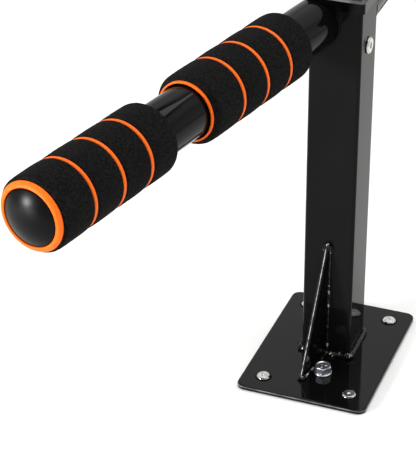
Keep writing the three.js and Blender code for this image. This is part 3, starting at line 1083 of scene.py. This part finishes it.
def seams_of_frame():
    """The beads at the post's foot and round the rib: path, closed, radius, pitch, depth, unevenness."""
    top, half = PLATE["top"], POST["side"] / 2
    reach, height = GUSSET["reach"], GUSSET["height"]
    rib = gusset_frame()
    beside_rib = GUSSET["thickness"] / 2 + 0.2
    base = rounded_square(half + 0.8, half + 0.8, 3.6, top + 1.0)
    nugget = [(half + 0.9, -half + 3.0, top + 1.9), (half + 1.6, -half - 1.0, top + 2.1),
              (half - 1.5, -half - 1.8, top + 2.0), (half - 6.0, -half - 1.4, top + 1.5)]
    toe = [(-half - 0.8, -half + 2.0, top + 1.6), (-half - 0.6, -half - 1.2, top + 1.8),
           (-half + 4.0, -half - 1.6, top + 1.5)]
    seams = [
        (base, True, 2.5, 3.4, 0.08, 0.5),
        (base[FRONT_OF_POST], False, 2.2, 2.9, 0.45, 2.2),
        (nugget, False, 1.9, 1.9, 0.55, 1.8),
        (toe, False, 1.7, 1.9, 0.55, 1.8),
    ]
    up_the_post = ((0.2, height - 4), (0.2, 1)), (0.7, 2.6, 0.3, 1.0)
    along_the_plate = ((-1, 0.2), (-reach + 1, 0.2)), (0.9, 2.4, 0.3, 1.2)
    for line, bead in (up_the_post, along_the_plate):
        for x in (beside_rib, -beside_rib):
            seams.append(([rib @ Vector((x, y, z)) for y, z in line], False, *bead))
    crown = [(-2.0, -1.0, height - 4), (-1.5, -1.6, height + 0.2), (1.0, -1.6, height + 1.2),
             (2.4, -0.8, height - 2)]
    tip = [(-1.8, -reach + 3.0, 0.8), (-1.2, -reach - 0.6, 1.2), (1.2, -reach - 1.0, 1.2),
           (2.0, -reach + 2.5, 0.8)]
    seams.append(([rib @ Vector(p) for p in crown], False, 1.8, 1.9, 0.55, 1.8))
    seams.append(([rib @ Vector(p) for p in tip], False, 1.7, 1.9, 0.55, 1.8))
    return seams


def joints_of_tubes():
    """The beads where the handle and the crossbar meet the post, below the cap."""
    place = handle_frame()
    out = (place.to_3x3() @ Vector((0, 0, 1))).normalized()
    round_handle = [place @ p for p in circle(BAR_RADIUS + 0.1, BOLT_SIDES)]
    below_cap = POST["top"] - 2.5
    on_far_side = [p.x < -HANDLE_ASIDE for p in round_handle]
    first = min(range(BOLT_SIDES), key=lambda i: abs(round_handle[i].z - below_cap)
                + (0 if on_far_side[i] else 100))
    in_order = round_handle[first:] + round_handle[:first]
    handle_joint = [p + out * (coped_start(p, out) + 0.3) for p in in_order if p.z < below_cap]
    bar_joint = [Vector((p.x, POST["side"] / 2 + 0.5, p.y + BAR_Z))
                 for p in circle(BAR_RADIUS + 0.1, 64) if p.y + BAR_Z < POST["top"] - 2.0]
    start = max(range(len(bar_joint)), key=lambda i: (bar_joint[i] - bar_joint[i - 1]).length)
    bar_joint = bar_joint[start:] + bar_joint[:start]
    return [(handle_joint, False, 0.8, 2.6, 0.10, 0.6), (bar_joint, False, 0.8, 2.8, 0.12, 0.6)]


def welds():
    """Every weld bead, as two pieces for each end: one on the frame and one on the tubes."""
    sets = (("welds", seams_of_frame(), WELD_PAINT), ("tube_welds", joints_of_tubes(), POST_PAINT))
    for name, beads, paint in sets:
        for side in ENDS:
            bm = bmesh.new()
            for i, (path, closed, radius, pitch, depth, uneven) in enumerate(beads):
                values = {"Bead Radius": radius, "Ripple Pitch": pitch, "Ripple Depth": depth,
                          "Unevenness": uneven, "Seed": 3.0 * i, "Material": paint}
                bm.from_mesh(grown("bead", points_mesh("bead", path, True, closed), WELD_TREE, values))
            mesh = to_mesh(bm, name, 60)
            lay_on_end(mesh, side)
            shown(f"{side}_{name}", mesh, paint, (), False)


def crossbar():
    """The pull-up bar, from post to post."""
    bm = bmesh.new()
    half = (abs(POST_Y) / MM) - POST["side"] / 2 - GAP
    loops = []
    for along in (-half, -half + 30, 0.0, half - 30, half):
        loops.append([Vector((p.x, along, p.y + BAR_Z)) for p in circle(BAR_RADIUS, TUBE_SIDES)])
    loft(bm, loops, (Vector((0, -half, BAR_Z)), Vector((0, half, BAR_Z))))
    mesh = to_mesh(bm, "crossbar")
    mesh.transform(Matrix.Translation((POST_X, 0, 0)) @ Matrix.Scale(MM, 4))
    shown("pull_up_bar", mesh, TUBE_PAINT, ["crossbar"], False)


mount_screws()
screw_shadow_rings()
groove_bands()
welds()
crossbar()

# ------------------------------------------------------------------ floor, light, camera


def floor():
    """A pale sheet, much wider than the part."""
    material, graph = new_material("studio_floor")
    mottle = noise_on(graph, place_on(graph), 2.0, 3.0)
    finish_with(graph, {
        "Base Color": mixed(graph, mottle, (0.93, 0.93, 0.915, 1.0), (0.95, 0.95, 0.935, 1.0)),
        "Roughness": 0.9,
        "Specular IOR Level": 0.1,
    })
    bm = bmesh.new()
    bmesh.ops.create_grid(bm, x_segments=8, y_segments=8, size=14.0)
    mesh = bpy.data.meshes.new("studio_floor")
    bm.to_mesh(mesh)
    bm.free()
    mesh.materials.append(material)
    placed("studio_floor", mesh)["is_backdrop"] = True


def softbox(name, place, target, size, power):
    """A rectangular lamp at a place, turned to a target."""
    data = bpy.data.lights.new(name, "AREA")
    data.shape = "RECTANGLE"
    data.size, data.size_y = size
    data.energy = power
    light = placed(name, data)
    light.location = place
    light.rotation_euler = (Vector(target) - Vector(place)).to_track_quat("-Z", "Y").to_euler()


def surroundings():
    """A pale room: brightest some 35 degrees up, and dark from there to overhead."""
    world = bpy.data.worlds.new("pale_room")
    world.use_nodes = True
    world.node_tree.nodes.clear()
    graph = Graph(world.node_tree)
    here = graph.node("ShaderNodeTexCoord", None, None, "Generated")
    height = graph.node("ShaderNodeSeparateXYZ", None, {"Vector": here}, "Z")
    tones = {0.0: 0.8, 0.30: 0.72, 0.42: 0.62, 0.52: 1.0, 0.63: 1.0, 0.70: 0.05, 1.0: 0.05}
    stops = [(place, grey(value)) for place, value in tones.items()]
    tone = graph.node("ShaderNodeValToRGB", {"stops": stops}, {"Fac": height}, "Color")
    back = graph.node("ShaderNodeBackground", None, {"Color": tone, "Strength": 1.0})
    graph.node("ShaderNodeOutputWorld", None, {"Surface": back})
    bpy.context.scene.world = world


def camera():
    """Stands in front of the left end, a little to its right, looking down at it."""
    yaw, pitch, roll = math.radians(20.95), math.radians(30.71), math.radians(-0.22)
    turn = Matrix.Rotation(-yaw, 3, "Z")
    tilt = Matrix(((1, 0, 0), (0, -math.sin(pitch), -math.cos(pitch)),
                   (0, math.cos(pitch), -math.sin(pitch))))
    lean = Matrix(((math.cos(roll), -math.sin(roll), 0), (math.sin(roll), math.cos(roll), 0),
                   (0, 0, 1)))
    right, down, forward = lean @ tilt @ turn
    data = bpy.data.cameras.new("camera")
    data.sensor_width = 36.0
    data.lens = 146.54
    data.shift_x = -0.02226
    data.shift_y = -0.01620
    data.clip_start, data.clip_end = 0.05, 60.0
    eye = placed("camera", data)
    stand = Vector((POST_X + 0.3630, POST_Y - 1.2058, 0.8600))
    eye.matrix_world = Matrix.Translation(stand) @ Matrix(
        (right, -down, -forward)).transposed().to_4x4()
    bpy.context.scene.camera = eye


floor()
surroundings()
softbox("overhead", (0.3, 0.2, 3.2), (0.0, 0.0, 0.0), (3.4, 3.4), 112.0)
softbox("front_left", (-1.38, -2.05, 0.54), (-0.06, -0.65, 0.28), (0.42, 0.36), 46.0)
softbox("low_strip", (-1.28, -2.50, 0.10), (0.0, -0.35, 0.06), (0.70, 0.20), 6.0)
camera()
bpy.context.scene.view_settings.view_transform = "Standard"

boxes = {"cad": CAD_BOX, "visual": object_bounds()}
{k: [list(corner) for corner in box] for k, box in boxes.items()}
